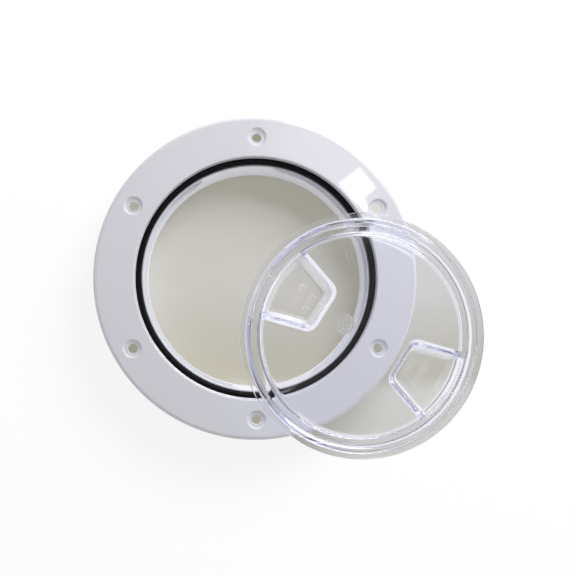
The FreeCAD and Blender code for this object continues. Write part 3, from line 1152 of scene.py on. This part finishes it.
def wear_group():
    """Masks for hair-thin scratches and for a soft haze, from Object coordinates."""
    group = bpy.data.node_groups.new("handling marks", "ShaderNodeTree")
    for name, value in (("Scratch Size", 20.0), ("Scratch Width", 0.004), ("Haze Size", 40.0)):
        socket = group.interface.new_socket(name, in_out="INPUT", socket_type="NodeSocketFloat")
        socket.default_value = value
    for name in ("Scratches", "Haze"):
        group.interface.new_socket(name, in_out="OUTPUT", socket_type="NodeSocketFloat")
    given = group.nodes.new("NodeGroupInput").outputs
    result = group.nodes.new("NodeGroupOutput")
    stretched = add_node(group, "Mapping", {
        "Vector": add_node(group, "TexCoord").outputs["Object"],
        "Rotation": SCRATCH_LEAN,
        "Scale": SCRATCH_STRETCH,
    }).outputs["Vector"]
    bend = object_noise(group, BEND_SCALE)["Color"]
    bent = mixed(group, "VECTOR", BEND_SHARE, stretched, bend)
    cells = add_node(group, "TexVoronoi", {"Vector": bent, "Scale": given["Scratch Size"]},
                     feature="DISTANCE_TO_EDGE").outputs["Distance"]
    line = maths(group, "LESS_THAN", cells, given["Scratch Width"])
    some = ranged(group, object_noise(group, BREAK_SCALE)["Fac"], BREAK_BAND)
    feed(group, result, {
        "Scratches": maths(group, "MULTIPLY", line, some),
        "Haze": object_noise(group, given["Haze Size"], HAZE_DETAIL)["Fac"],
    })
    return group


handling_marks = wear_group()
print("shared group:", handling_marks.name)

# %% Helpers for materials
def new_material(name):
    """A material with its Principled shader and its nodes."""
    material = bpy.data.materials.new(name)
    material.use_nodes = True
    return material, material.node_tree.nodes["Principled BSDF"], material.node_tree


def wear(tree, scratch_size, scratch_width, haze_size):
    """The shared group placed in a material with its own values."""
    return add_node(tree, "Group", {
        "Scratch Size": scratch_size,
        "Scratch Width": scratch_width,
        "Haze Size": haze_size,
    }, node_tree=handling_marks).outputs


def bumped(tree, height, strength, distance):
    """The normal that a bump gives."""
    inputs = {"Height": height, "Strength": strength, "Distance": distance}
    return add_node(tree, "Bump", inputs).outputs["Normal"]


print("material helpers ready")

# %% [markdown]
# White plastic
#
# The ring is glossy white plastic with a cool tint, like most marine fittings, which are
# made resistant to sunlight. Its gloss is a little uneven, and in the mirror of its flat
# face one sees that the mould was not perfectly flat. Such a wave is far lower than the
# mesh could show, so it is a very soft, wide bump.

# %% White plastic
WHITE = (0.72, 0.73, 0.76, 1.0)
HAZE_SHADE = 0.97
HAZED_WHITE = tuple(HAZE_SHADE * part for part in WHITE[:3]) + (1.0,)
WHITE_WEAR = (24.0, 0.0025, 30.0)
WHITE_ROUGHNESS = (0.015, 0.05)
MOULD_WAVE_SCALE = 60.0
MOULD_WAVE_STRENGTH = 0.1
SMOOTH_DETAIL = 1.0
WAVE_DEPTH = 0.05 * MM
PLASTIC_IOR = 1.5


def gloss_white():
    """Cool white plastic with an uneven gloss."""
    material, shader, tree = new_material("gloss white")
    marks = wear(tree, *WHITE_WEAR)
    wave = object_noise(tree, MOULD_WAVE_SCALE, SMOOTH_DETAIL)["Fac"]
    feed(tree, shader, {
        "Base Color": mixed(tree, "RGBA", marks["Haze"], WHITE, HAZED_WHITE),
        "Roughness": ranged(tree, marks["Haze"], (0.0, 1.0), WHITE_ROUGHNESS),
        "Normal": bumped(tree, wave, MOULD_WAVE_STRENGTH, WAVE_DEPTH),
        "IOR": PLASTIC_IOR,
    })
    return material


# %% [markdown]
# Black rubber
#
# The seal is near-black rubber, dull but a little greasy, with a fine grain. The grain is
# finer than a hair, so it is a bump from noise and not cut into the mesh.

# %% Black rubber
RUBBER = (0.003, 0.0035, 0.0035, 1.0)
HAZED_RUBBER = (0.008, 0.009, 0.009, 1.0)
RUBBER_WEAR = (60.0, 0.003, 220.0)
RUBBER_ROUGHNESS = (0.4, 0.55)
RUBBER_GLOSS = 0.08
GRAIN_SCALE = 2500.0
GRAIN_STRENGTH = 0.3
GRAIN_DEPTH = 0.02 * MM


def seal_rubber():
    """Near-black rubber with a fine grain."""
    material, shader, tree = new_material("seal rubber")
    marks = wear(tree, *RUBBER_WEAR)
    grain = object_noise(tree, GRAIN_SCALE)["Fac"]
    feed(tree, shader, {
        "Base Color": mixed(tree, "RGBA", marks["Haze"], RUBBER, HAZED_RUBBER),
        "Roughness": ranged(tree, marks["Haze"], (0.0, 1.0), RUBBER_ROUGHNESS),
        "Normal": bumped(tree, grain, GRAIN_STRENGTH, GRAIN_DEPTH),
        "Specular IOR Level": RUBBER_GLOSS,
    })
    return material


# %% [markdown]
# Clear plastic
#
# The cover is clear plastic with a blue tint, which shows where one looks through a lot of
# it, at the rims: that is absorption in its volume. A thin sheen stands for the dust on it.
# The raised marks on its top are a little dull, and so are the skirt and the wells' walls,
# which are also slightly wavy. Rays that only carry shadow or soft light are let straight
# through, because Cycles would otherwise need far more samples to bring light through it,
# and a little brighter, for the light that the real cover gathers.

# %% Clear plastic
CLEAR = (0.99, 0.99, 1.0, 1.0)
CLEAR_WEAR = (18.0, 0.0022, 35.0)
LIGHT_GAIN = (1.03, 1.03, 1.04, 1.0)
DEPTH_TINT = (0.2, 0.25, 0.85, 1.0)
DEPTH_DENSITY = 6.0
SCRATCH_ROUGHNESS = (0.01, 0.35)
DUST = 0.2
DUST_ROUGHNESS = 0.4
DUST_TINT = (0.9, 0.93, 1.0, 1.0)
MARK_BAND = (COVER_TOP + 0.05 * MM, COVER_TOP + 0.1 * MM)
MARK_DULLNESS = 0.5
WALL_TOP = COVER_TOP - PLATE_THICKNESS - 0.3 * MM
WALL_BAND = (WALL_TOP, WALL_TOP - MM)
WALL_DULLNESS = 0.12
WALL_WAVE = 1.0
WALL_WAVE_SCALE = 260.0
CLEAR_BUMP_STRENGTH = 0.5


def by_height(tree, band, most):
    """A value that grows from nothing to its most between two heights."""
    return ranged(tree, object_part(tree, "Z"), band, (0.0, most))


def clear_surface(tree, shader):
    """The clear plastic's gloss, dust, scratches and waves."""
    marks = wear(tree, *CLEAR_WEAR)
    scratched = ranged(tree, marks["Scratches"], (0.0, 1.0), SCRATCH_ROUGHNESS)
    dull = maths(tree, "ADD", by_height(tree, MARK_BAND, MARK_DULLNESS),
                 by_height(tree, WALL_BAND, WALL_DULLNESS))
    wave = object_noise(tree, WALL_WAVE_SCALE, SMOOTH_DETAIL)["Fac"]
    height = maths(tree, "MULTIPLY_ADD", wave, by_height(tree, WALL_BAND, WALL_WAVE),
                   marks["Scratches"])
    feed(tree, shader, {
        "Base Color": CLEAR,
        "Transmission Weight": 1.0,
        "IOR": PLASTIC_IOR,
        "Roughness": maths(tree, "MAXIMUM", scratched, dull),
        "Sheen Weight": DUST,
        "Sheen Roughness": DUST_ROUGHNESS,
        "Sheen Tint": DUST_TINT,
        "Normal": bumped(tree, height, CLEAR_BUMP_STRENGTH, WAVE_DEPTH),
    })


def clear_moulding():
    """Clear plastic that lets shadow rays and soft light straight through."""
    material, shader, tree = new_material("clear moulding")
    clear_surface(tree, shader)
    path = add_node(tree, "LightPath").outputs
    soft = maths(tree, "MAXIMUM", path["Is Shadow Ray"], path["Is Diffuse Ray"])
    through = add_node(tree, "BsdfTransparent", {"Color": LIGHT_GAIN}).outputs["BSDF"]
    depth = add_node(tree, "VolumeAbsorption", {"Color": DEPTH_TINT, "Density": DEPTH_DENSITY})
    feed(tree, tree.nodes["Material Output"], {
        "Surface": mixed_shader(tree, soft, shader.outputs["BSDF"], through),
        "Volume": depth.outputs["Volume"],
    })
    return material


# %% [markdown]
# Dressing the frame
#
# Each modelled piece takes its finish and then stands in for the frame's own piece of the
# same name, which stays in the file unseen. It rides on the frame's one body.

# %% Dress and replace
for piece, node, finish, slot in (
    (ring, "deck_ring", gloss_white(), "white_plastic"),
    (seal, "o_ring", seal_rubber(), "black_rubber"),
    (cover, "clear_cover", clear_moulding(), "clear_plastic"),
):
    piece.data.materials.clear()
    piece.data.materials.append(finish)
    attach(piece, "root")
    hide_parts(node)
    print(piece.name, "stands for", node)

# %% [markdown]
# The size
#
# The pretty pieces must be as large as the measured ones.
